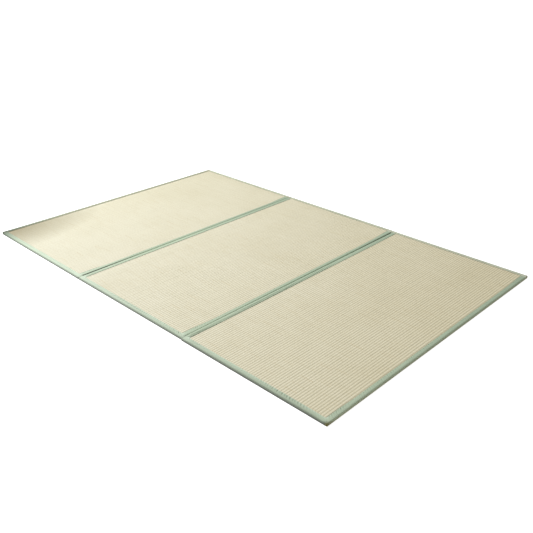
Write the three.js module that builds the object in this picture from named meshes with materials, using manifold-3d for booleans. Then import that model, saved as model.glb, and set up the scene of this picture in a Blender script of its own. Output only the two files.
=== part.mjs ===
// Three-fold rush mat, opened flat: three ribbed rush panels, each bound with
// folded cloth tape, joined by two cloth hinge strips.
// Millimetres. X runs along the long side, Y along the short side, Z up.
// The origin is on the floor under the middle of the mat.

import * as THREE from 'three';
import { mergeVertices } from 'three/addons/utils/BufferGeometryUtils.js';
import Module from 'manifold-3d';

const wasm = await Module();
wasm.setup();

// Whole mat
const matLength = 2100;
const matWidth = 1400;
const matHeight = 12;
const seamGap = 3.4;
const fitGap = 0.3;

// Cloth tape folded round the edges
const clothThick = 1.2;
const tapeFace = 22;
const tapeReturn = 18;
const edgeRadius = 5;
const arcSteps = 3;
const tapeSteps = 4;

// Rush face
const ribPitch = 11.35;
const ribRise = 1.1;
const ribEase = 0.08;
const valleyLift = 0.2;
const ribSteps = 4;
const crownRise = 0.7;
const rippleRise = 0.25;
const ripplesAlong = 3;

// One rib from valley to valley: place as a share of the pitch, height as a share of the rise
const ribProfile = [
  { across: 0, rise: 0 },
  { across: 0.2, rise: 0.72 },
  { across: 0.5, rise: 1 },
  { across: 0.8, rise: 0.72 },
];

// How each panel lies: its turn seen from above in degrees, and its slip along the seam
const panels = [
  { number: 1, turn: 0, slip: 0 },
  { number: 2, turn: 0.14, slip: 0.65 },
  { number: 3, turn: 0, slip: -1.5 },
];

// Hinge strip: it tucks under the panels' edges along the floor, and its ends are turned up
// between the corners and lie over their rounded shoulders, level with the tape
const hingeThick = 1;
const hingeEnd = 20;
const hingeInset = 1.5;
const hingeFootSpread = 3.4;
const hingeTopSpread = 0.7;
const hingeLapDepth = 3.5;
const hingeLapInset = 2;
const hingeLapSpread = 2;

// Sizes worked out from the driving dimensions
const panelLength = (matLength - (panels.length - 1) * seamGap) / panels.length;
const panelPitch = panelLength + seamGap;
const coreTop = matHeight - clothThick - fitGap;
const coreBottom = clothThick + fitGap;
const coreInset = clothThick + fitGap;
const coreRadius = edgeRadius - coreInset;
const ribbedLength = panelLength - 2 * (tapeFace + fitGap);
const ribbedWidth = matWidth - 2 * (tapeFace + fitGap);
const ribCount = Math.round(ribbedLength / ribPitch);
const valleyHeight = coreTop + valleyLift;
const mitreGap = fitGap / Math.SQRT2;

const rush = { color: 0xe3ddc2, roughness: 0.7, metalness: 0 };
const greenCloth = { color: 0xb4c8ae, roughness: 0.85, metalness: 0 };

function namedMesh(name, geometry, finish) {
  const mesh = new THREE.Mesh(geometry, new THREE.MeshStandardMaterial(finish));
  mesh.name = name;
  return mesh;
}

function toSolid(geometry) {
  const plain = geometry.clone();
  plain.deleteAttribute('normal');
  plain.deleteAttribute('uv');
  const merged = mergeVertices(plain);
  return new wasm.Manifold(new wasm.Mesh({
    numProp: 3,
    vertProperties: new Float32Array(merged.attributes.position.array),
    triVerts: new Uint32Array(merged.index.array),
  }));
}

function toGeometry(solid) {
  const mesh = solid.getMesh();
  const geometry = new THREE.BufferGeometry();
  geometry.setAttribute('position', new THREE.BufferAttribute(mesh.vertProperties, 3));
  geometry.setIndex(new THREE.BufferAttribute(mesh.triVerts, 1));
  return geometry;
}

// Moves every vertex of a geometry by a function of its place
function shapePoints(geometry, move) {
  const points = geometry.attributes.position;
  const point = new THREE.Vector3();
  for (let i = 0; i < points.count; i += 1) {
    point.fromBufferAttribute(points, i);
    move(point);
    points.setXYZ(i, point.x, point.y, point.z);
  }
  return geometry;
}

// The pad under the rush: a flat slab with rounded rims, which the tape wraps
function padSlab() {
  const halfLength = panelLength / 2 - coreInset - coreRadius;
  const halfWidth = matWidth / 2 - coreInset - coreRadius;
  const outline = new THREE.Shape();
  outline.moveTo(-halfLength, -halfWidth);
  outline.lineTo(halfLength, -halfWidth);
  outline.lineTo(halfLength, halfWidth);
  outline.lineTo(-halfLength, halfWidth);
  outline.closePath();
  const slab = new THREE.ExtrudeGeometry(outline, {
    depth: coreTop - coreBottom - 2 * coreRadius,
    bevelEnabled: true,
    bevelThickness: coreRadius,
    bevelSize: coreRadius,
    bevelSegments: arcSteps,
  });
  return slab.translate(0, 0, coreBottom + coreRadius);
}

// The flat sole, level with the tape's return underneath
function soleBlock() {
  const overlap = 1;
  const height = coreBottom + overlap;
  const inset = tapeReturn + fitGap;
  const sole = new THREE.BoxGeometry(panelLength - 2 * inset, matWidth - 2 * inset, height);
  return sole.translate(0, 0, height / 2);
}

// The rush face stands a little higher toward the middle, with slow ripples across the ribs
function faceLift(x, y) {
  const acrossShare = 2 * x / ribbedLength;
  const alongShare = 2 * y / ribbedWidth;
  const crown = (1 - acrossShare ** 2) * (1 - alongShare ** 2);
  const ripple = Math.sin(Math.PI * ripplesAlong * (acrossShare + 0.4 * alongShare));
  return crown * (crownRise + rippleRise * ripple);
}

// The woven rush face: ribs that run the length of the seam, raised in its points
function ribbedFace() {
  const overlap = 1;
  const pitch = ribbedLength / ribCount;
  const start = -ribbedLength / 2;
  const section = new THREE.Shape();
  section.moveTo(start, coreTop - overlap);
  section.lineTo(-start, coreTop - overlap);
  section.lineTo(-start, valleyHeight);
  for (let rib = ribCount - 1; rib >= 0; rib -= 1) {
    const height = ribRise * (1 + (rib % 2 === 0 ? ribEase : -ribEase));
    for (const row of [...ribProfile].reverse()) {
      section.lineTo(start + (rib + row.across) * pitch, valleyHeight + row.rise * height);
    }
  }
  section.closePath();
  const face = new THREE.ExtrudeGeometry(section, {
    depth: ribbedWidth,
    steps: ribSteps,
    bevelEnabled: false,
  });
  face.rotateX(Math.PI / 2).translate(0, ribbedWidth / 2, 0);
  return shapePoints(face, (point) => {
    if (point.z > coreTop) {
      point.z += faceLift(point.x, point.y);
    }
  });
}

function rushPanel() {
  const solid = toSolid(padSlab()).add(toSolid(soleBlock())).add(toSolid(ribbedFace()));
  return toGeometry(solid);
}

// Tape cut to one side: its section wraps the edge, and its ends are mitred.
// It runs along X, with its outer face at y = 0 and the panel toward +Y.
function bindingTape(sideLength) {
  const inner = edgeRadius - clothThick;
  const high = matHeight - edgeRadius;
  const quarter = Math.PI / 2;
  const section = new THREE.Shape();
  section.moveTo(tapeReturn, 0);
  section.lineTo(tapeReturn, clothThick);
  section.lineTo(edgeRadius, clothThick);
  section.absarc(edgeRadius, edgeRadius, inner, -quarter, -2 * quarter, true);
  section.absarc(edgeRadius, high, inner, 2 * quarter, quarter, true);
  section.lineTo(tapeFace, matHeight - clothThick);
  section.lineTo(tapeFace, matHeight);
  section.lineTo(edgeRadius, matHeight);
  section.absarc(edgeRadius, high, edgeRadius, quarter, 2 * quarter, false);
  section.absarc(edgeRadius, edgeRadius, edgeRadius, 2 * quarter, 3 * quarter, false);
  section.closePath();
  const tape = new THREE.ExtrudeGeometry(section, {
    depth: sideLength,
    steps: tapeSteps,
    curveSegments: arcSteps,
    bevelEnabled: false,
  });
  tape.rotateX(quarter).rotateZ(quarter).translate(-sideLength / 2, 0, 0);
  return shapePoints(tape, (point) => {
    point.x *= 1 - 2 * (point.y + mitreGap) / sideLength;
  });
}

const tapeSides = [
  { side: 'front', length: panelLength, x: 0, y: -matWidth / 2, quarterTurns: 0 },
  { side: 'right', length: matWidth, x: panelLength / 2, y: 0, quarterTurns: 1 },
  { side: 'back', length: panelLength, x: 0, y: matWidth / 2, quarterTurns: 2 },
  { side: 'left', length: matWidth, x: -panelLength / 2, y: 0, quarterTurns: 3 },
];

function panelCentre(index) {
  return (index - (panels.length - 1) / 2) * panelPitch;
}

function boundPanel(panel, index) {
  const group = new THREE.Group();
  group.position.set(panelCentre(index), panel.slip, 0);
  group.rotation.z = THREE.MathUtils.degToRad(panel.turn);
  group.add(namedMesh(`rush_panel_${panel.number}`, rushPanel(), rush));
  for (const row of tapeSides) {
    const tape = namedMesh(`binding_${panel.number}_${row.side}`, bindingTape(row.length), greenCloth);
    tape.position.set(row.x, row.y, 0);
    tape.rotation.z = row.quarterTurns * Math.PI / 2;
    group.add(tape);
  }
  return group;
}

// Place of a panel's seam edge at a given y; side is 1 for its right edge and -1 for its left
function seamEdge(index, side, y) {
  const turn = THREE.MathUtils.degToRad(panels[index].turn);
  return panelCentre(index) + side * panelLength / 2 - y * Math.tan(turn);
}

// A block that fills a seam between two places along Y, from one height to another,
// with its flanks spread past the panels' edges by an amount at its foot and its top
function seamBlock(index, places, foot, top) {
  const middle = (foot.height + top.height) / 2;
  const block = new THREE.BoxGeometry(1, places.to - places.from, top.height - foot.height);
  block.translate(0, (places.from + places.to) / 2, middle);
  return shapePoints(block, (point) => {
    const left = seamEdge(index, 1, point.y);
    const right = seamEdge(index + 1, -1, point.y);
    const spread = point.z < middle ? foot.spread : top.spread;
    point.x = (left + right) / 2 + Math.sign(point.x) * ((right - left) / 2 + spread);
  });
}

// The cloth strip at the foot of a seam, turned up at both ends between the panels' corners
function hingeStrip(index) {
  const end = matWidth / 2 - hingeInset;
  const bend = end - hingeEnd;
  const stripFoot = { height: 0, spread: hingeFootSpread };
  const stripTop = { height: hingeThick, spread: hingeTopSpread };
  const neckFoot = { height: 0, spread: -fitGap };
  const neckTop = { height: matHeight - hingeLapDepth, spread: -fitGap };
  const lapTop = { height: matHeight, spread: hingeLapSpread };
  const lapEnd = end - hingeLapInset;
  const turnUps = [
    { neck: { from: -end, to: -bend }, lap: { from: -lapEnd, to: -bend } },
    { neck: { from: bend, to: end }, lap: { from: bend, to: lapEnd } },
  ];
  let strip = toSolid(seamBlock(index, { from: -end, to: end }, stripFoot, stripTop));
  for (const { neck, lap } of turnUps) {
    strip = strip.add(toSolid(seamBlock(index, neck, neckFoot, neckTop)));
    strip = strip.add(toSolid(seamBlock(index, lap, neckTop, lapTop)));
  }
  return toGeometry(strip);
}

const mat = new THREE.Group();
panels.forEach((panel, index) => mat.add(boundPanel(panel, index)));
for (let seam = 0; seam < panels.length - 1; seam += 1) {
  mat.add(namedMesh(`hinge_strip_${seam + 1}`, hingeStrip(seam), greenCloth));
}

export default mat;
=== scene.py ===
import math
import random

import bpy
import numpy as np
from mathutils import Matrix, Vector


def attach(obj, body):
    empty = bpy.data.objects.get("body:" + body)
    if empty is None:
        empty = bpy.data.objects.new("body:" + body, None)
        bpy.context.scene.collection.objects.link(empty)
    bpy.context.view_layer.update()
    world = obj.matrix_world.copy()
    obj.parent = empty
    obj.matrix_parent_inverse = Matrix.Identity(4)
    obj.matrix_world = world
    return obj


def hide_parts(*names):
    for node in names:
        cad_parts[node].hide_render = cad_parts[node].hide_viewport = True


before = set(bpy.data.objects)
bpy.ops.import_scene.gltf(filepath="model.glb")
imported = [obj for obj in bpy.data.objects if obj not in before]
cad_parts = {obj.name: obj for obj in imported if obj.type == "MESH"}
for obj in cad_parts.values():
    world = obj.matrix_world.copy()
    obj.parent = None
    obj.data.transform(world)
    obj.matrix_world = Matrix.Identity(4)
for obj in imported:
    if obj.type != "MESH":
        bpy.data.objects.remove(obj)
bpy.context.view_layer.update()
print("frame loaded")

# Sizes shared by the pieces, in metres: all but the foot and corner radii are as in the CAD model
mat = {
    "length": 2.1,
    "width": 1.4,
    "height": 0.012,
    "seamGap": 0.0034,
    "fitGap": 0.0003,
    "clothThick": 0.0012,
    "tapeFace": 0.022,
    "tapeReturn": 0.018,
    "footRadius": 0.0024,
    "cornerRadius": 0.004,
    "seamCornerRadius": 0.0022,
    "ribPitch": 0.01135,
}

# The upper edge slopes down over the pad's soft rim, less so along the left and the back and
# where panels lie close, and is squarer at the folded corners: how far in the slope starts,
# and how far down it ends
shoulders = {
    "open": {"across": 0.009, "drop": 0.0055},
    "far": {"across": 0.005, "drop": 0.004},
    "seam": {"across": 0.0078, "drop": 0.0045},
    "close seam": {"across": 0.0036, "drop": 0.0018},
    "corner": {"across": 0.0045, "drop": 0.0045},
}
cornerReach = 0.035  # how far along a tape its squarer end passes into its usual shape
seamSides = [(1, "right"), (2, "left"), (2, "right"), (3, "left")]

# How each panel lies: turn seen from above in degrees, slip along the seam
panelLie = {
    1: {"turn": 0.0, "slip": 0.0},
    2: {"turn": 0.14, "slip": 0.00065},
    3: {"turn": 0.0, "slip": -0.0015},
}

# The left front corner lifts a little off the floor, less so with each metre along X and Y
cornerCurl = {"rise": 0.0015, "reach": 0.3, "alongX": 1.3, "alongY": 0.8}

panelLength = (mat["length"] - 2 * mat["seamGap"]) / 3
panelPitch = panelLength + mat["seamGap"]
halfLength = panelLength / 2
halfWidth = mat["width"] / 2
coreInset = mat["clothThick"] + mat["fitGap"]
ribbedHalfLength = halfLength - mat["tapeFace"] - mat["fitGap"]
ribbedHalfWidth = halfWidth - mat["tapeFace"] - mat["fitGap"]
ribCount = round(2 * ribbedHalfLength / mat["ribPitch"])
ribWidth = 2 * ribbedHalfLength / ribCount


# Camera

cameraLook = {
    "place": (2.0355, -2.0219, 1.3677),
    "aim": (0.1112, -0.0682, 0.0),
    "lens": 45.39,
    "shiftX": 0.0233,
    "clipStart": 0.05,
}


def addCamera(look):
    data = bpy.data.cameras.new("camera")
    camera = bpy.data.objects.new("camera", data)
    bpy.context.scene.collection.objects.link(camera)
    camera.location = look["place"]
    aim = Vector(look["aim"]) - camera.location
    camera.rotation_euler = aim.to_track_quat("-Z", "Y").to_euler()
    data.lens = look["lens"]
    data.shift_x = look["shiftX"]
    data.clip_start = look["clipStart"]
    bpy.context.scene.camera = camera


addCamera(cameraLook)
print("camera placed")


# Finishes

class Socket:
    # A shader socket that can be added, multiplied and so on

    def __init__(self, finish, socket):
        self.finish = finish
        self.socket = socket

    def maths(self, operation, first, second=0.0):
        return self.finish.node("ShaderNodeMath", {"operation": operation}, {0: first, 1: second})

    def __add__(self, other):
        return self.maths("ADD", self, other)

    def __radd__(self, other):
        return self.maths("ADD", other, self)

    def __sub__(self, other):
        return self.maths("SUBTRACT", self, other)

    def __rsub__(self, other):
        return self.maths("SUBTRACT", other, self)

    def __mul__(self, other):
        return self.maths("MULTIPLY", self, other)

    def __rmul__(self, other):
        return self.maths("MULTIPLY", other, self)

    def __truediv__(self, other):
        return self.maths("DIVIDE", self, other)

    def __mod__(self, other):
        return self.maths("FLOORED_MODULO", self, other)

    def __pow__(self, other):
        return self.maths("POWER", self, other)

    def floor(self):
        return self.maths("FLOOR", self)

    def size(self):
        return self.maths("ABSOLUTE", self)

    def atLeast(self, other):
        return self.maths("MAXIMUM", self, other)

    def wave(self):
        # 0 to 1 and back once for each whole number
        return self.maths("COSINE", self * (2 * math.pi)) * -0.5 + 0.5

    def clamp(self):
        return self.finish.node("ShaderNodeClamp", {}, {"Value": self})

    def past(self, start, reach):
        # 0 up to the start, and 1 from the reach beyond it, or before it if the reach is negative
        return ((self - start) / reach).clamp()


class Finish:
    # One node material

    def __init__(self, name, **fixed):
        self.material = bpy.data.materials.new(name)
        self.material.use_nodes = True
        self.tree = self.material.node_tree
        self.shader = self.tree.nodes["Principled BSDF"]
        for key, value in fixed.items():
            self.shader.inputs[key.replace("_", " ")].default_value = value

    def node(self, kind, settings, inputs, output=0):
        made = self.tree.nodes.new(kind)
        for key, value in settings.items():
            if key == "stops":
                self.setStops(made.color_ramp, value)
            else:
                setattr(made, key, value)
        for key, value in inputs.items():
            self.feed(made.inputs[key], value)
        return Socket(self, made.outputs[output])

    def feed(self, socket, value):
        if isinstance(value, Socket):
            self.tree.links.new(value.socket, socket)
        else:
            socket.default_value = value

    def setStops(self, ramp, stops):
        while len(ramp.elements) < len(stops):
            ramp.elements.new(0.5)
        for element, (place, colour) in zip(ramp.elements, stops):
            element.position = place
            element.color = colour

    def place(self):
        return self.node("ShaderNodeTexCoord", {}, {}, "Object")

    def weave(self):
        return self.node("ShaderNodeUVMap", {"uv_map": "weave"}, {})

    def axes(self, vector):
        made = self.node("ShaderNodeSeparateXYZ", {}, {"Vector": vector})
        return [Socket(self, made.socket.node.outputs[i]) for i in range(3)]

    def vector(self, x, y):
        return self.node("ShaderNodeCombineXYZ", {}, {"X": x, "Y": y})

    def noise(self, vector, scale, detail):
        inputs = {"Vector": vector, "Scale": scale, "Detail": detail}
        return self.node("ShaderNodeTexNoise", {}, inputs, "Fac")

    def attribute(self, name):
        return self.node("ShaderNodeAttribute", {"attribute_name": name}, {}, "Fac")

    def grey(self, level):
        return self.node("ShaderNodeCombineColor", {}, {"Red": level, "Green": level, "Blue": level})

    def speckle(self, vector):
        return self.node("ShaderNodeTexWhiteNoise", {"noise_dimensions": "2D"}, {"Vector": vector}, "Value")

    def mix(self, factor, first, second, blend="MIX"):
        settings = {"data_type": "RGBA", "blend_type": blend}
        return self.node("ShaderNodeMix", settings, {0: factor, 6: first, 7: second}, 2)

    def ramp(self, factor, stops):
        return self.node("ShaderNodeValToRGB", {"stops": stops}, {"Fac": factor})

    def bump(self, height, distance, strength):
        inputs = {"Height": height, "Distance": distance, "Strength": strength}
        return self.node("ShaderNodeBump", {}, inputs)

    def done(self, **links):
        for key, value in links.items():
            self.feed(self.shader.inputs[key.replace("_", " ")], value)
        return self.material


def rgb(red, green, blue):
    # A colour given as on screen, turned to the renderer's linear values
    def linear(level):
        share = level / 255
        return share / 12.92 if share <= 0.04045 else ((share + 0.055) / 1.055) ** 2.4
    return (linear(red), linear(green), linear(blue), 1.0)


# Painted shadow darkens the front left corner: how far it reaches along each side
shadedCorner = {"reachX": 0.27, "reachY": 0.55}


# Share of the painted corner shadow at a point
def cornerShadowShare(x, y):
    u = (x + mat["length"] / 2) / shadedCorner["reachX"]
    v = (y + halfWidth) / shadedCorner["reachY"]
    return (1 - (u * u + v * v) ** 0.5).clamp()


rushLook = {
    "pale": rgb(231, 228, 211),
    "straw": rgb(222, 218, 197),
    "shade": rgb(207, 200, 174),
    # painted shade in the valleys between ribs
    "valley": rgb(158, 152, 118),
    "brown": rgb(196, 176, 134),
    # painted shadow on the front left corner
    "tan": rgb(134, 124, 92),
    # painted shadow line where the rush goes under the tape
    "edge": rgb(104, 102, 78),
    # painted shade toward the far left, the right and the back
    "paintedShadeLeft": (0.965, 0.965, 0.95, 1.0),
    "paintedShadeRight": (0.93, 0.895, 0.815, 1.0),
    "paintedShadeBack": (0.925, 0.907, 0.86, 1.0),
    "stemPitch": 0.0015,
    "stemDepth": 0.00035,
    "lineWidth": 0.0034,
    "leftFrom": (-0.4, -0.5),
    "rightFrom": (-0.75, 1.75),
}


def rushFinish(look):
    finish = Finish("woven rush", Roughness=0.55, Specular_IOR_Level=0.35)
    across, along, _ = finish.axes(finish.weave())
    objectPlace = finish.place()
    x, y, _ = finish.axes(objectPlace)

    # Stems lie across the ribs and change places with their neighbours from rib to rib
    rib = across.floor()
    parity = rib % 2.0
    wobble = finish.noise(finish.vector(across * 0.35, along * 40), 1.0, 1.0) * 0.9
    stem = along / look["stemPitch"] + parity * 0.5 + wobble
    stemHeight = stem.wave() ** 0.6
    inRib = across.wave() ** 0.5

    # Each stem has its own tone, which drifts slowly on its way across the mat
    stemNumber = stem.floor()
    tone = finish.speckle(finish.vector(stemNumber, parity))
    drift = finish.noise(finish.vector(across * 0.12, stemNumber * 0.37), 1.0, 2.0)
    cloud = finish.noise(objectPlace, 3.2, 3.0)
    paleness = (tone * 0.3 + drift * 0.4 + cloud * 0.5 - 0.05).clamp()
    stops = [(0.1, look["shade"]), (0.5, look["straw"]), (0.9, look["pale"])]
    colour = finish.ramp(paleness, stops)

    # A few stems have dried brown
    dried = finish.ramp(finish.speckle(finish.vector(stemNumber, (across * 0.2).floor())),
                        [(0.965, (0, 0, 0, 1)), (0.975, (1, 1, 1, 1))])
    colour = finish.mix(dried * 0.4, colour, look["brown"])

    # Painted shade darkens the valleys between ribs, and a painted shadow line runs where the rush goes
    # under the tape
    colour = finish.mix((1 - inRib) * 0.5, colour, look["valley"])
    line = finish.attribute("edge").past(look["lineWidth"], -look["lineWidth"])
    colour = finish.mix(line * 0.85, colour, look["edge"])

    # Painted shade darkens and warms the rush toward the right, the back and the far left, and a painted
    # shadow darkens one corner
    toLeft = x.past(*look["leftFrom"])
    toRight = x.past(*look["rightFrom"]) ** 1.5
    toBack = y.past(-halfWidth, mat["width"])
    colour = finish.mix(toLeft, colour, look["paintedShadeLeft"], "MULTIPLY")
    colour = finish.mix(toRight, colour, look["paintedShadeRight"], "MULTIPLY")
    colour = finish.mix(toBack, colour, look["paintedShadeBack"], "MULTIPLY")
    tan = (cornerShadowShare(x, y) + (cloud - 0.5) * 0.06).clamp()
    colour = finish.mix(tan, colour, look["tan"])

    height = stemHeight * (0.35 + inRib * 0.65)
    roughness = 0.5 + tone * 0.12
    normal = finish.bump(height, look["stemDepth"], 0.7)
    return finish.done(Base_Color=colour, Roughness=roughness, Normal=normal)


tapeLook = {
    "green": rgb(180, 199, 172),
    "pale": rgb(195, 210, 186),
    "shade": rgb(140, 158, 132),
    # painted sheen along the front and front left, and painted highlight on the front tape's inner edge
    "mint": rgb(222, 236, 220),
    # painted shade on the outer sides, olive on the right
    "paintedSideShade": rgb(44, 41, 37),
    "olive": rgb(84, 76, 16),
    # painted shade in the puckers and along the tape's inner edge
    "fold": rgb(86, 96, 72),
    # painted shade down in the seams
    "deep": rgb(54, 68, 48),
    # painted shadow on the front left corner
    "tan": rgb(56, 70, 52),
    "backGrey": rgb(190, 188, 168),
    "leftGrey": rgb(158, 154, 132),
    "frontTint": (1.025, 1.0, 1.0, 1.0),
    "backTint": (0.975, 1.0, 0.965, 1.0),
    "yarn": 0.0007,
    "depth": 0.0001,
}

# Where each mark on the tape starts, and how far on from there it is full
tapeMarks = {
    "greyFromBack": (0.672, 0.004),
    "greyFromLeft": (-1.024, -0.004),
    "sheenX": (0.25, -0.4),
    "sheenY": (-0.35, -0.3),
    "frontBand": (-0.66, -0.02),
    "paleFromLeft": (-0.9, 0.3),
    "paleToRight": (1.1, -0.7),
    "outsideX": (1.03, 0.02),
    "outsideY": (0.68, 0.02),
    "rightward": (-1.0, 1.6),
    "oliveRight": (1.036, 0.01),
    "low": (0.0118, -0.0118),
    "cornerTip": (1.728, 0.022),
    "shoulderShade": (0.011, 0.022),
    "edgeHighlight": (0.0095, -0.006),
    "downSeam": (0.0115, -0.0026),
    "innerLine": (0.003, -0.003),
}


def tapeFinish(look, marks):
    finish = Finish("green tape", Roughness=0.8, Specular_IOR_Level=0.2, Sheen_Weight=0.15)
    along, across, _ = finish.axes(finish.weave())
    objectPlace = finish.place()
    x, y, z = finish.axes(objectPlace)
    warp = (along / look["yarn"]).wave()
    weft = (across / look["yarn"]).wave()
    step = ((along / look["yarn"]).floor() + (across / look["yarn"]).floor()) % 2.0
    weave = warp * step + weft * (1 - step)
    cloud = finish.noise(objectPlace, 6.0, 3.0)
    grain = finish.noise(finish.vector(along * 9, across * 160), 1.0, 3.0)
    paleness = (grain * 0.7 + cloud * 0.5 - 0.1).clamp()
    colour = finish.mix(paleness, look["green"], look["pale"])
    colour = finish.mix((1 - weave) * 0.25, colour, look["shade"])

    # Painted shade darkens the tape toward the back and the right, and a tint shifts it from front to back;
    # it is greyer along the back edge, and darker and greyer along the left
    paintedFalloff = 1 - (y + halfWidth) * 0.15 - (x + mat["length"] / 2) * 0.06
    colour = finish.mix(1.0, colour, finish.grey(paintedFalloff), "MULTIPLY")
    tint = finish.mix(y.past(-halfWidth, mat["width"]), look["frontTint"], look["backTint"])
    colour = finish.mix(1.0, colour, tint, "MULTIPLY")
    colour = finish.mix(y.past(*marks["greyFromBack"]) * 0.65, colour, look["backGrey"])
    colour = finish.mix(x.past(*marks["greyFromLeft"]) * 0.7, colour, look["leftGrey"])

    # Painted sheen lightens it toward the front left, and along the front
    front = y.past(*marks["frontBand"])
    paintedSheen = x.past(*marks["sheenX"]) * y.past(*marks["sheenY"])
    colour = finish.mix(paintedSheen * 0.15, colour, look["mint"])
    paleFront = front * x.past(*marks["paleFromLeft"]) * x.past(*marks["paleToRight"])
    colour = finish.mix(paleFront * 0.2, colour, look["mint"])

    # Painted shade darkens the mat's outer sides, olive on the right, and the blunt corner tip; along the
    # front it starts on the face, where a painted highlight lightens the tape's inner edge
    edge = finish.attribute("edge")
    outside = x.size().past(*marks["outsideX"]).atLeast(y.size().past(*marks["outsideY"]))
    rightward = x.past(*marks["rightward"])
    paintedSideShade = finish.mix(x.past(*marks["oliveRight"]), look["paintedSideShade"], look["olive"])
    low = z.past(*marks["low"]) ** 0.55
    colour = finish.mix(low * outside * (0.94 + rightward * 0.03), colour, paintedSideShade)
    tipShade = (x.size() + y.size()).past(*marks["cornerTip"])
    colour = finish.mix(tipShade * 0.85, colour, paintedSideShade)
    shoulderShade = edge.past(*marks["shoulderShade"])
    colour = finish.mix(shoulderShade * front * rightward * 0.5, colour, paintedSideShade)
    edgeHighlight = edge.past(*marks["edgeHighlight"])
    colour = finish.mix(edgeHighlight * front * 0.45, colour, look["mint"])

    # Painted shade darkens the cloth down in the seams where they gape, and the left seam's tapes toward the
    # back
    down = z.past(*marks["downSeam"])
    colour = finish.mix(down * finish.attribute("seamShade"), colour, look["deep"])
    colour = finish.mix(finish.attribute("deeper"), colour, look["deep"])

    # Painted shade darkens the puckers and the line where the tape ends on the rush, and a painted shadow
    # the mat's front left corner
    colour = finish.mix(finish.attribute("crease") * 0.9, colour, look["fold"])
    colour = finish.mix(edge.past(*marks["innerLine"]) * 0.8, colour, look["fold"])
    colour = finish.mix(cornerShadowShare(x, y) ** 2.0 * 0.9, colour, look["tan"])
    roughness = 0.75 + grain * 0.15
    normal = finish.bump(weave, look["depth"], 0.6)
    return finish.done(Base_Color=colour, Roughness=roughness, Normal=normal)


threadLook = {
    "green": rgb(184, 204, 178),
    "pale": rgb(212, 224, 204),
    "twistAlong": 1600,
    "twistUp": 900,
    "depth": 0.00008,
}


def threadFinish(look):
    finish = Finish("sewing thread", Roughness=0.6, Specular_IOR_Level=0.4)
    x, y, z = finish.axes(finish.place())
    twist = ((x + y) * look["twistAlong"] + z * look["twistUp"]).wave()
    colour = finish.mix(twist, look["green"], look["pale"])
    return finish.done(Base_Color=colour, Normal=finish.bump(twist, look["depth"], 0.5))


floorLook = {"pale": (0.95, 0.95, 0.95, 1), "glow": (0.64, 0.64, 0.64, 1), "size": 80}


def floorFinish(look):
    # A white studio floor, lit from below as well, so that it stays white
    finish = Finish("pale floor", Base_Color=look["pale"], Roughness=0.9, Specular_IOR_Level=0.1,
                    Emission_Color=look["glow"], Emission_Strength=1.0)
    return finish.done()


rush = rushFinish(rushLook)
greenTape = tapeFinish(tapeLook, tapeMarks)
thread = threadFinish(threadLook)
print("finishes made")


# Shared shapes

def smoothStep(share):
    share = np.clip(share, 0.0, 1.0)
    return share * share * (3 - 2 * share)


slowWaves = {"count": 7, "shortest": 0.09, "longest": 0.5}


def unevenness(x, y, seed):
    # Slow waves of many lengths, about -1 to 1
    rng = random.Random(seed)
    total = np.zeros(np.broadcast(x, y).shape)
    for _ in range(slowWaves["count"]):
        length = rng.uniform(slowWaves["shortest"], slowWaves["longest"])
        heading = rng.uniform(0, math.pi)
        phase = rng.uniform(0, 2 * math.pi)
        run = x * math.cos(heading) + y * math.sin(heading)
        total = total + np.sin(2 * math.pi * run / length + phase)
    return total / (slowWaves["count"] / 2)


def layDown(number, points):
    # Rounds a panel's corners, then turns and moves its points to where the panel lies
    x, y, z = points[:, 0].copy(), points[:, 1].copy(), points[:, 2].copy()
    seams = [(number, "left") in seamSides, (number, "right") in seamSides]
    onSeam = np.where(x > 0, seams[1], seams[0])
    radius = np.where(onSeam, mat["seamCornerRadius"], mat["cornerRadius"])
    intoX = radius - (halfLength - np.abs(x))
    intoY = radius - (halfWidth - np.abs(y))
    near = (intoX > 0) & (intoY > 0)
    square = np.maximum(intoX, intoY)
    ease = np.where(near, square / np.maximum(np.hypot(intoX, intoY), 1e-9), 1.0)
    x = np.where(near, np.sign(x) * (halfLength - radius + intoX * ease), x)
    y = np.where(near, np.sign(y) * (halfWidth - radius + intoY * ease), y)
    lie = panelLie[number]
    turn = math.radians(lie["turn"])
    rowX = (number - 2) * panelPitch + x * math.cos(turn) - y * math.sin(turn)
    rowY = lie["slip"] + x * math.sin(turn) + y * math.cos(turn)
    distance = (rowX + mat["length"] / 2) * cornerCurl["alongX"] + (rowY + halfWidth) * cornerCurl["alongY"]
    lift = cornerCurl["rise"] * np.clip(1 - distance / cornerCurl["reach"], 0, 1) ** 2
    return np.stack([rowX, rowY, z + lift], axis=1)


def meshPiece(name, points, faces, material, weave, measures):
    # The weave gives each point its place in the cloth, and each measure one number more
    mesh = bpy.data.meshes.new(name)
    mesh.from_pydata(points.tolist(), [], faces)
    mesh.update()
    layer = mesh.uv_layers.new(name="weave")
    order = np.zeros(len(mesh.loops), np.int32)
    mesh.loops.foreach_get("vertex_index", order)
    layer.data.foreach_set("uv", weave[order].astype(np.float32).ravel())
    for measure, values in measures.items():
        attribute = mesh.attributes.new(measure, "FLOAT", "POINT")
        attribute.data.foreach_set("value", values.astype(np.float32))
    mesh.materials.append(material)
    piece = bpy.data.objects.new(name, mesh)
    bpy.context.scene.collection.objects.link(piece)
    mesh.shade_smooth()
    return piece


def arc(centre, radii, start, end, steps):
    # Points round a stretch of a circle or an ellipse
    angles = np.radians(np.linspace(start, end, steps + 1))
    return [(centre[0] + radii[0] * math.cos(a), centre[1] + radii[1] * math.sin(a)) for a in angles]


# Tapes that are wider or narrower than the rest, away from the corners
extraWidth = {
    (1, "right"): -0.009,
    (2, "right"): -0.008,
    (3, "right"): -0.003,
    (3, "left"): 0.0026,
}
extraFade = {"start": 0.01, "reach": 0.16}

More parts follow.
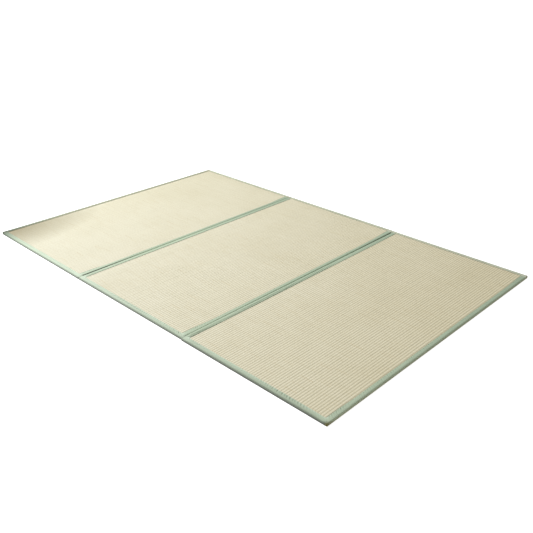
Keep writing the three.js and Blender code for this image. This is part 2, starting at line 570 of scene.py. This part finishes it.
# How much more strongly some tapes are puckered
puckering = {
    (2, "front"): 1.5,
    (3, "front"): 1.8,
    (1, "right"): 1.2,
    (2, "left"): 1.2,
    (3, "left"): 3.4,
}

# How much painted shade the cloth gets down in each seam where it gapes, and the gaps at which that starts
# and is full
seamShade = {1: 0.95, 2: 0.45}
gapingFrom, gapingFull = 0.0041, 0.0049

# The left seam's tapes get painted shade toward the back
deeperTape = {"seam": 1, "start": -0.05, "reach": 0.6, "strength": 0.15}


def extraAt(number, side, toCorner):
    # How much wider a tape is at a distance from its corners
    share = smoothStep((toCorner - extraFade["start"]) / extraFade["reach"])
    return extraWidth.get((number, side), 0) * share


# Rush panels

panelLook = {
    "stepsAcrossRib": 10,
    "rowsAlong": 110,
    "ribRise": 0.0012,
    "ribEase": 0.08,
    "ribVariety": 0.12,
    "ribDrift": 0.12,
    "ribFullness": 0.62,
    "valley": 0.0107,
    "underTape": 0.0102,
    "crown": 0.0006,
    "swell": 0.00035,
    "dive": 0.0036,
    "tuck": 0.0008,
    "softEnd": 0.002,
    "softBeside": 0.0015,
    "softBack": 0.003,
    "hardLeft": 0.003,
    "climb": 0.0012,
    "startUnder": 0.0008,
}


def panelHeight(look, number, x, y):
    # Height of the woven face over a point of the panel
    rng = random.Random(40 + number)
    variety = np.array([rng.uniform(-1, 1) for _ in range(ribCount)])
    place = (x + ribbedHalfLength) / ribWidth
    rib = np.clip(np.floor(place), -1, ribCount).astype(int)
    phase = np.clip(place - rib, 0, 1)
    arch = np.sin(math.pi * phase) ** look["ribFullness"]
    parity = np.where(rib % 2 == 0, 1.0, -1.0)
    rise = look["ribRise"] * (1 + look["ribEase"] * parity + look["ribVariety"] * variety[rib % ribCount])
    rise = rise * (1 + look["ribDrift"] * unevenness(x * 2.2, y * 2.2, 70 + number))
    crown = np.clip(1 - (x / ribbedHalfLength) ** 2, 0, 1) * np.clip(1 - (y / ribbedHalfWidth) ** 2, 0, 1)
    swell = look["swell"] * unevenness(x, y, 90 + number) + look["crown"]
    height = look["valley"] + rise * arch + swell * crown ** 0.5
    toTape = np.minimum(*panelEdge(number, x, y))
    inside = smoothStep((toTape + look["startUnder"]) / look["climb"])
    inside = inside * smoothStep((ribbedHalfWidth - np.abs(y)) / look["dive"])
    height = height - look["tuck"] * (1 - smoothStep(toTape / look["dive"]))
    return look["underTape"] + (height - look["underTape"]) * inside


def panelEdge(number, x, y):
    # Distances from a point of the rush face to the tapes beside the ribs and across their ends
    toCorner = halfWidth - np.abs(y) * halfWidth / ribbedHalfWidth
    extra = np.where(x > 0, extraAt(number, "right", toCorner), extraAt(number, "left", toCorner))
    return ribbedHalfLength - extra - np.abs(x), ribbedHalfWidth - np.abs(y)


def stepsToEdge(half, inner, dive):
    # Rows from the rim to where the woven face is at full height
    return [-half, -inner - 0.002, -inner - 0.0006, -inner, -inner + dive * 0.3, -inner + dive * 0.65]


def rushPanel(look, number):
    rim = shoulders["open"]["across"]
    reach = ribbedHalfLength + ribWidth
    columns = np.linspace(-reach, reach, (ribCount + 2) * look["stepsAcrossRib"] + 1)
    xs = np.array([rim - halfLength] + columns.tolist() + [halfLength - rim])
    front = stepsToEdge(halfWidth - rim, ribbedHalfWidth, look["dive"])
    start = ribbedHalfWidth - look["dive"]
    middle = np.linspace(-start, start, look["rowsAlong"]).tolist()
    ys = np.array(front + middle + [-y for y in reversed(front)])
    gridX, gridY = np.meshgrid(xs, ys)
    gridZ = panelHeight(look, number, gridX, gridY)
    rows, cols = gridX.shape
    points = [np.stack([gridX.ravel(), gridY.ravel(), gridZ.ravel()], axis=1)]
    index = np.arange(rows * cols).reshape(rows, cols)
    faces = np.stack([index[:-1, :-1], index[:-1, 1:], index[1:, 1:], index[1:, :-1]], axis=-1)
    faces = faces.reshape(-1, 4).tolist()

    # The rim goes round and under in rings, each like the grid's outline but larger or smaller
    outline = np.concatenate([index[0, :-1], index[:-1, -1], index[-1, :0:-1], index[:0:-1, 0]])
    ring = points[0][outline]
    foot, shoulderFoot = mat["footRadius"], mat["height"] - shoulders["open"]["drop"]
    radii = (rim - coreInset, look["underTape"] - shoulderFoot)
    profile = arc((rim, shoulderFoot), radii, 90, 180, 5)[1:]
    profile += arc((foot, foot), (foot - coreInset, foot - coreInset), 180, 270, 4)
    under = mat["tapeReturn"] + mat["fitGap"]
    profile += [(under, coreInset), (under, 0.0)]
    previous = outline
    total = rows * cols
    for inset, height in profile:
        scaleX = (halfLength - inset) / (halfLength - rim)
        scaleY = (halfWidth - inset) / (halfWidth - rim)
        level = np.full(len(ring), height)
        points.append(np.stack([ring[:, 0] * scaleX, ring[:, 1] * scaleY, level], axis=1))
        current = np.arange(total, total + len(ring))
        total += len(ring)
        after = np.roll(current, -1)
        faces += np.stack([previous, current, after, np.roll(previous, -1)], axis=1).tolist()
        previous = current
    faces.append(previous[::-1].tolist())

    flat = np.concatenate(points)
    weave = np.stack([(flat[:, 0] + ribbedHalfLength) / ribWidth, flat[:, 1]], axis=1)
    # The edge measure says where the painted shadow line along the tapes falls, set off side by side
    beside, atEnds = panelEdge(number, flat[:, 0], flat[:, 1])
    leftSide = -look["hardLeft"] if number == 1 else look["softBeside"]
    beside = beside + np.where(flat[:, 0] > 0, look["softBeside"], leftSide)
    atEnds = atEnds + look["softEnd"] + np.where(flat[:, 1] > 0, look["softBack"], 0.0)
    measures = {"edge": np.minimum(beside, atEnds)}
    piece = meshPiece(f"rush_face_{number}", layDown(number, flat), faces, rush, weave, measures)
    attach(piece, "root")
    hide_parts(f"rush_panel_{number}")
    return piece


for number in panelLie:
    rushPanel(panelLook, number)
print("rush panels made")


# Cloth tape round the edges

tapeShape = {
    "station": 0.0045,
    "crown": 0.0006,
    "puckerPitch": 0.0118,
    "puckerRise": 0.0003,
    "edgeWander": 0.0005,
    "creaseReach": 0.006,
    "creaseDrop": 0.0004,
    "shoulder": 0.006,
    "hem": 0.0003,
    "endRows": [0.0, 0.001, 0.002, 0.003, 0.004, 0.0055, 0.0075],
}

# Inner edges that face the light don't show as a dark line: how far each side's is put off
lineOffset = {"front": 0.0035, "right": 0.0032, "back": 0.0035, "left": 0.0016}

# Each side: its length, and how many quarter turns from the front one
tapeSides = {
    "front": {"length": panelLength, "turns": 0, "out": halfWidth},
    "right": {"length": mat["width"], "turns": 1, "out": halfLength},
    "back": {"length": panelLength, "turns": 2, "out": halfWidth},
    "left": {"length": mat["width"], "turns": 3, "out": halfLength},
}


def tapeSection(shoulder):
    # Points of the tape's section, in from the edge and up: the outside, then the inside
    foot, thick = mat["footRadius"], mat["clothThick"]
    across, drop = shoulder["across"], shoulder["drop"]
    low = mat["height"] - drop
    face, back = mat["tapeFace"], mat["tapeReturn"]
    outer = [(back, 0.0), (back / 2, 0.0)]
    outer += reversed(arc((foot, foot), (foot, foot), 180, 270, 5))
    outer += reversed(arc((across, low), (across, drop), 90, 180, 9))
    hem = tapeShape["hem"]
    outer += [(d, mat["height"]) for d in np.linspace(across + 5 * hem, face - 4 * hem, 7)]
    outer += [(face - hem, mat["height"] - hem), (face, mat["height"] - 2 * hem)]
    inner = [(face - 0.0002, mat["height"] - thick)]
    inner += arc((across, low), (across - thick, drop - thick), 90, 180, 6)
    inner += arc((foot, foot), (foot - thick, foot - thick), 180, 270, 4)
    inner += [(back, thick)]
    return np.array(outer + inner), len(outer)


def turned(points, quarterTurns, out):
    # From a tape running along X, with its edge at y = 0, to its side of the panel
    x, y = points[:, 0], points[:, 1] - out
    for _ in range(quarterTurns):
        x, y = -y, x
    return np.stack([x, y, points[:, 2]], axis=1)


def tapeSurface(shape, along, inset, height, number, side):
    # How far the sewn cloth departs from a plain fold: a soft crown, puckers and corner creases
    length = tapeSides[side]["length"]
    seed = 200 + number * 10 + tapeSides[side]["turns"]
    phase = random.Random(seed).uniform(0, 1)
    toCorner = length / 2 - np.abs(along)
    top = smoothStep((height - 0.009) / 0.0025)
    rise = shape["crown"] * np.sin(math.pi * np.clip(inset / mat["tapeFace"], 0, 1)) * top
    wander = unevenness(along * 1.6, inset * 0, seed)
    wave = np.cos(2 * math.pi * (along / shape["puckerPitch"] + phase + 0.35 * wander))
    drawn = (0.5 + 0.5 * wave) ** 2.5
    sewn = smoothStep((inset - 0.004) / 0.013) * smoothStep(toCorner / 0.02) * top
    sewn = sewn * puckering.get((number, side), 1.0) * (0.75 + 0.5 * wander)
    if (number, side) in seamSides:
        sewn = sewn * (1 - 0.7 * smoothStep((along * (1 if side == "right" else -1) + 0.1) / 0.4))
    rise = rise + shape["puckerRise"] * (0.6 - 2 * drawn) * sewn
    crease = 1 - smoothStep((toCorner - inset) / shape["creaseReach"])
    rise = rise - shape["creaseDrop"] * crease * top
    shoulder = shape["shoulder"]
    wide = extraAt(number, side, toCorner) * np.clip((inset - shoulder) / (mat["tapeFace"] - shoulder), 0, 1)
    sideways = shape["edgeWander"] * wander * smoothStep((inset - 0.01) / 0.01)
    sideways = sideways + wide * smoothStep((height - 0.006) / 0.003)
    # The last value is where the puckers' valleys take painted shade
    return rise, sideways, np.clip(drawn * sewn * 0.5, 0, 1)


def seamEdge(number, side, y):
    turn = math.radians(panelLie[number]["turn"])
    return (number - 2) * panelPitch + side * halfLength - y * math.tan(turn)


def seamWidth(seam, y):
    return seamEdge(seam + 1, -1, y) - seamEdge(seam, 1, y)


def bindingTape(shape, number, side):
    facts = tapeSides[side]
    length = facts["length"]
    onSeam = (number, side) in seamSides
    plain = "far" if side in ("left", "back") else "open"
    section, outside = tapeSection(shoulders["seam" if onSeam else plain])
    closer, _ = tapeSection(shoulders["close seam" if onSeam else plain])
    squarer, _ = tapeSection(shoulders["corner"])
    middle = length / 2 - 0.01
    stations = [-length / 2 + e for e in shape["endRows"]]
    spacing = shape["station"] / (2 if puckering.get((number, side), 1) > 2 else 1)
    stations += np.linspace(-middle, middle, round(2 * middle / spacing)).tolist()
    stations += [length / 2 - e for e in reversed(shape["endRows"])]
    stations = np.array(stations)[:, None]
    seam = number if side == "right" else number - 1
    northward = stations * (1 if side == "right" else -1)
    gap = seamWidth(seam, northward) if onSeam else 0 * stations
    apart = np.clip(gap / mat["seamGap"] - 0.5, 0, 1)
    soft = smoothStep((length / 2 - np.abs(stations) - mat["tapeReturn"]) / cornerReach)
    usual = closer[None] + (section - closer)[None] * apart[:, :, None]
    shaped = squarer[None] + (usual - squarer[None]) * soft[:, :, None]
    inset, height = shaped[:, :, 0], shaped[:, :, 1]
    along = np.broadcast_to(stations, inset.shape)
    mitre = mat["fitGap"] / math.sqrt(2)
    squeezed = along * (1 - 2 * (inset + mitre) / length)
    rise, sideways, drawn = tapeSurface(shape, along, inset, height, number, side)
    flat = np.stack([squeezed.ravel(), (inset + sideways).ravel(), (height + rise).ravel()], axis=1)
    index = np.arange(len(flat)).reshape(len(stations), -1)
    after = np.roll(index, -1, axis=1)
    faces = np.stack([index[:-1], index[1:], after[1:], after[:-1]], axis=-1).reshape(-1, 4).tolist()
    faces.append(index[0].tolist())
    faces.append(index[-1, ::-1].tolist())
    run = np.hypot(*np.diff(section, axis=0, prepend=section[:1]).T).cumsum()
    edge = np.tile(np.abs(run[outside - 1] - run), len(stations))
    weave = np.stack([squeezed.ravel(), edge], axis=1)
    # Painted shade down in gaping seams, and on the left seam's tapes toward the back
    dark = seamShade.get(seam, 0) * np.clip((gap - gapingFrom) / (gapingFull - gapingFrom), 0, 1)
    strength = deeperTape["strength"] if onSeam and seam == deeperTape["seam"] else 0
    deeper = strength * np.clip((northward - deeperTape["start"]) / deeperTape["reach"], 0, 1)
    measures = {
        "edge": edge + lineOffset[side],
        "crease": drawn.ravel(),
        "seamShade": np.broadcast_to(dark, inset.shape).ravel(),
        "deeper": np.broadcast_to(deeper, inset.shape).ravel(),
    }
    placed = layDown(number, turned(flat, facts["turns"], facts["out"]))
    piece = meshPiece(f"tape_{number}_{side}", placed, faces, greenTape, weave, measures)
    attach(piece, "root")
    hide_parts(f"binding_{number}_{side}")
    cut = mat["tapeFace"] + extraWidth.get((number, side), 0) + mat["tapeReturn"] + mat["height"]
    return piece


for number in panelLie:
    for side in tapeSides:
        bindingTape(tapeShape, number, side)
print("binding tapes made")


# Hinge strips in the seams

hingeShape = {
    "thick": 0.001,
    "endLength": 0.024,
    "endInset": 0.0015,
    "foot": 0.0034,
    "top": 0.0007,
    "lapSpread": 0.0034,
    "lapTaper": 0.018,
    "turnUp": 0.003,
    "over": 0.0001,
    "shade": 0.2,
    "station": 0.008,
    "endRows": [0.0, 0.0006, 0.0015, 0.003, 0.006, 0.01, 0.015, 0.019, 0.021, 0.0225, 0.0234, 0.024],
}


def shoulderHeight(inset):
    # Height of the tape's squarer shoulder at a distance in from its edge
    across, drop = shoulders["corner"]["across"], shoulders["corner"]["drop"]
    share = min(max(1 - inset / across, 0.0), 1.0)
    return mat["height"] - drop + drop * math.sqrt(1 - share * share)


def hingeStrip(shape, seam):
    # A strip along the floor, turned up at both ends, where it lies over the corners' shoulders
    end = halfWidth - shape["endInset"]
    bend = end - shape["endLength"]
    turnUp, over = shape["turnUp"], shape["over"]
    ys = [-end + e for e in shape["endRows"]]
    ys += np.linspace(-bend + turnUp, bend - turnUp, round(2 * bend / shape["station"])).tolist()
    ys += [end - e for e in reversed(shape["endRows"])]
    low = mat["height"] - shoulders["corner"]["drop"]
    points = []
    for y in ys:
        left, right = seamEdge(seam, 1, y), seamEdge(seam + 1, -1, y)
        middle, half = (left + right) / 2, (right - left) / 2
        raised = float(smoothStep((abs(y) - bend) / turnUp))
        fromEnd = halfWidth - abs(y)
        top = shape["thick"] + (shoulderHeight(fromEnd) - shape["thick"]) * raised
        lap = shape["lapSpread"] * float(smoothStep((top - low) / turnUp))
        lap = lap * float(smoothStep((abs(y) - bend) / shape["lapTaper"]))
        neck = half - mat["fitGap"] * 0.8
        rows = [
            (half + shape["foot"], 0.0),
            (half + shape["top"], 0.8 * shape["thick"]),
            (neck, min(top - 2 * over, low)),
            (neck + lap * 0.35, min(top - over, shoulderHeight(lap * 0.35) + over)),
            (neck + lap, min(top, shoulderHeight(lap) + over)),
            ((neck + lap) * 0.5, top + over * raised),
        ]
        points += [(middle + offset, y, z) for offset, z in rows]
        points += [(middle - offset, y, z) for offset, z in reversed(rows)]
    points = np.array(points)
    index = np.arange(len(points)).reshape(len(ys), -1)
    after = np.roll(index, -1, axis=1)
    faces = np.stack([index[:-1], after[:-1], after[1:], index[1:]], axis=-1).reshape(-1, 4).tolist()
    faces.append(index[0, ::-1].tolist())
    faces.append(index[-1].tolist())
    weave = points[:, [1, 0]]
    none = np.zeros(len(points))
    measures = {
        "edge": none + mat["tapeFace"],
        "crease": none,
        "seamShade": none + shape["shade"],
        "deeper": none,
    }
    piece = meshPiece(f"hinge_cloth_{seam}", points, faces, greenTape, weave, measures)
    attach(piece, "root")
    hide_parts(f"hinge_strip_{seam}")
    return piece


for seam in (1, 2):
    hingeStrip(hingeShape, seam)
print("hinge strips made")


# Stitching

stitchShape = {
    "pitch": 0.007,
    "length": 0.0046,
    "thick": 0.0007,
    "inFromTape": 0.0028,
    "raised": 0.00015,
    "endGap": 0.002,
}


def oneStitch(shape):
    bpy.ops.object.select_all(action="DESELECT")
    bpy.ops.mesh.primitive_uv_sphere_add(segments=8, ring_count=6, radius=0.5)
    stitch = bpy.context.object
    stitch.scale = (shape["length"], shape["thick"], shape["thick"])
    bpy.ops.object.transform_apply(location=False, rotation=False, scale=True)
    return stitch


def stitchRow(shape, number, side):
    facts = tapeSides[side]
    inset = mat["tapeFace"] - shape["inFromTape"]
    run = facts["length"] - 2 * (inset + shape["endGap"])
    count = int(run / shape["pitch"])
    stitch = oneStitch(shape)
    repeat = stitch.modifiers.new("row", "ARRAY")
    repeat.count = count
    repeat.use_relative_offset = False
    repeat.use_constant_offset = True
    repeat.constant_offset_displace = (shape["pitch"], 0, 0)
    bpy.ops.object.modifier_apply(modifier="row")
    mesh = stitch.data
    flat = np.zeros(len(mesh.vertices) * 3)
    mesh.vertices.foreach_get("co", flat)
    flat = flat.reshape(-1, 3)
    centre = np.round(flat[:, 0] / shape["pitch"]) * shape["pitch"]
    start = -(count - 1) * shape["pitch"] / 2
    level = np.full(len(flat), mat["height"])
    insets = np.full(len(flat), inset)
    rise, sideways, _ = tapeSurface(tapeShape, centre + start, insets, level, number, side)
    flat[:, 0] += start
    flat[:, 1] += inset + sideways
    flat[:, 2] += mat["height"] + rise + shape["raised"]
    placed = layDown(number, turned(flat, facts["turns"], facts["out"]))
    mesh.vertices.foreach_set("co", placed.ravel())
    mesh.update()
    return stitch


def stitching(shape, number):
    rows = [stitchRow(shape, number, side) for side in tapeSides]
    bpy.ops.object.select_all(action="DESELECT")
    for row in rows:
        row.select_set(True)
    bpy.context.view_layer.objects.active = rows[0]
    bpy.ops.object.join()
    piece = bpy.context.object
    piece.name = f"stitching_{number}"
    piece.data.materials.clear()
    piece.data.materials.append(thread)
    bpy.ops.object.shade_smooth()
    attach(piece, "root")
    return piece


for number in panelLie:
    stitching(stitchShape, number)
print("stitching made")


# Floor and light

def addFloor():
    bpy.ops.object.select_all(action="DESELECT")
    bpy.ops.mesh.primitive_plane_add(size=floorLook["size"], location=(0, 0, 0))
    floor = bpy.context.object
    floor.name = "floor"
    floor.data.materials.append(floorFinish(floorLook))


# One large soft lamp: place, aim, width and height of its panel, power
lamps = {
    "key": {"place": (-2.9, -0.6, 3.9), "aim": (-0.1, 0.0, 0.0), "size": (2.6, 2.6), "power": 247},
}
skyLight = 0.52


def addLamp(name, facts):
    data = bpy.data.lights.new(name, "AREA")
    data.shape = "RECTANGLE"
    data.size, data.size_y = facts["size"]
    data.energy = facts["power"]
    lamp = bpy.data.objects.new(name, data)
    bpy.context.scene.collection.objects.link(lamp)
    lamp.location = facts["place"]
    aim = Vector(facts["aim"]) - lamp.location
    lamp.rotation_euler = aim.to_track_quat("-Z", "Y").to_euler()


def addSky(strength):
    world = bpy.data.worlds.new("studio")
    bpy.context.scene.world = world
    world.use_nodes = True
    background = world.node_tree.nodes["Background"]
    background.inputs["Color"].default_value = (1, 1, 1, 1)
    background.inputs["Strength"].default_value = strength


addFloor()
for name, facts in lamps.items():
    addLamp(name, facts)
addSky(skyLight)
bpy.context.scene.view_settings.view_transform = "Standard"
print("floor and light set")
